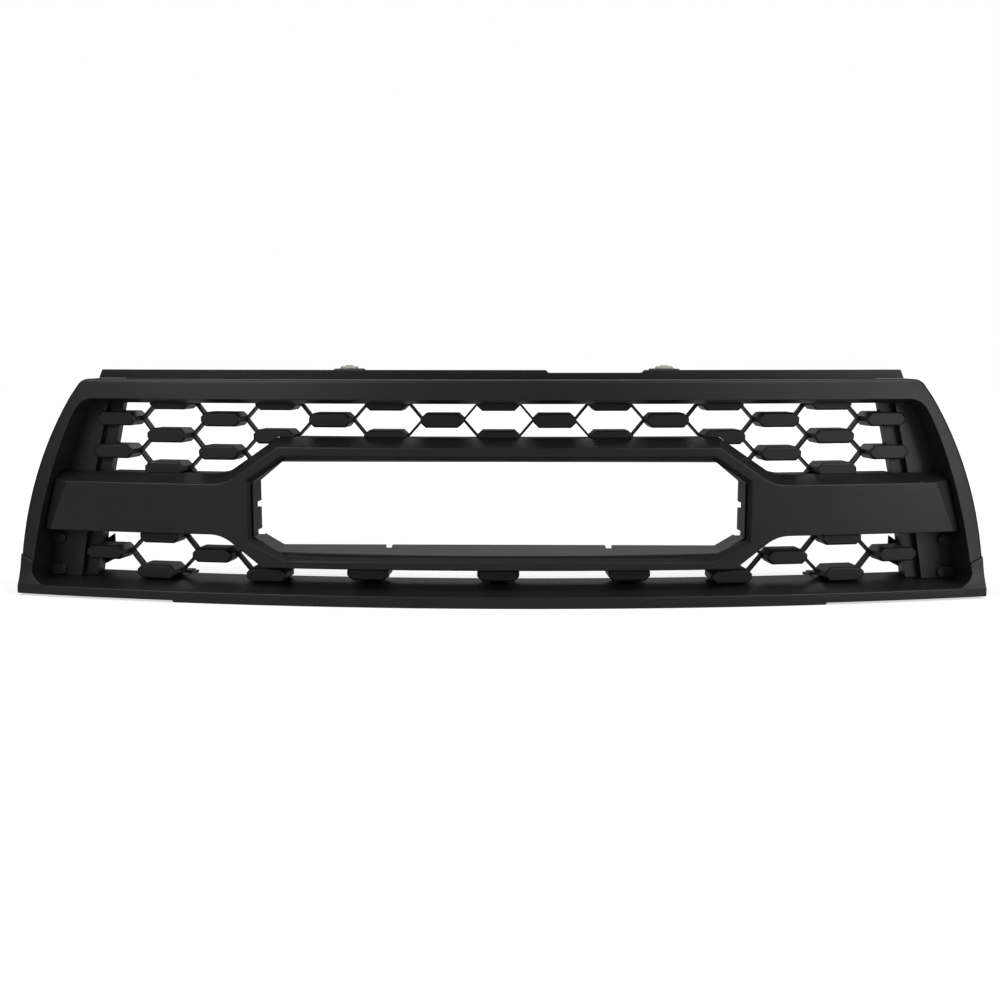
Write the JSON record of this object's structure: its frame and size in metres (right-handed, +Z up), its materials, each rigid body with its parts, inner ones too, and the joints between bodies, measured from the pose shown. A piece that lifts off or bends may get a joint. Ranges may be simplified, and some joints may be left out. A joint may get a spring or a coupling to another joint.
{
  "type": "front grille",
  "caption": "Wide vehicle front grille with a swept surround, hexagonal lattice of pads, crossbar and an open octagonal emblem frame.",
  "frame": {"origin": "midway between the two top fixing slots, on the top face of the mounting ledge", "axes": "+X to the right as seen from in front of the grille, +Y rearwards into the vehicle, +Z up"},
  "size_m": [0.9508, 0.1306, 0.2256],
  "materials": {
    "satin_black": "fine grained satin ABS",
    "raw_black": "ungrained black polypropylene",
    "retainer_nylon": "natural grey nylon",
    "zinc_screw": "zinc plated",
    "spring_steel": "black phosphated spring steel"
  },
  "bodies": {
    "grille": {"surround_arch": "satin_black", "lower_sill": "satin_black", "top_rail": "satin_black", "centre_bar": "satin_black", "emblem_liner": "satin_black", "upper_mesh": "satin_black", "lower_mesh_left": "satin_black", "lower_mesh_right": "satin_black", "spacer_blocks": "satin_black", "end_panel_left": "satin_black", "end_panel_right": "satin_black", "rear_brace_left": "raw_black", "rear_brace_right": "raw_black", "retainer_body_left": "retainer_nylon", "retainer_body_right": "retainer_nylon", "rail_screws": "zinc_screw", "mesh_screws": "zinc_screw", "bar_screws": "zinc_screw", "panel_screws": "zinc_screw", "sill_screws": "zinc_screw", "liner_screws": "zinc_screw", "spacer_screws": "zinc_screw", "brace_screws": "zinc_screw", "sill_clips": "spring_steel"},
    "pin_left": {"retainer_pin_left": "retainer_nylon"},
    "pin_right": {"retainer_pin_right": "retainer_nylon"}
  },
  "joints": [
    {"name": "retainer_pin_left_pull", "type": "slide", "parent": "grille", "child": "pin_left", "axis": [0, 0, 1], "range_m": [0, 0.006]},
    {"name": "retainer_pin_right_pull", "type": "slide", "parent": "grille", "child": "pin_right", "axis": [0, 0, 1], "range_m": [0, 0.006]}
  ]
}
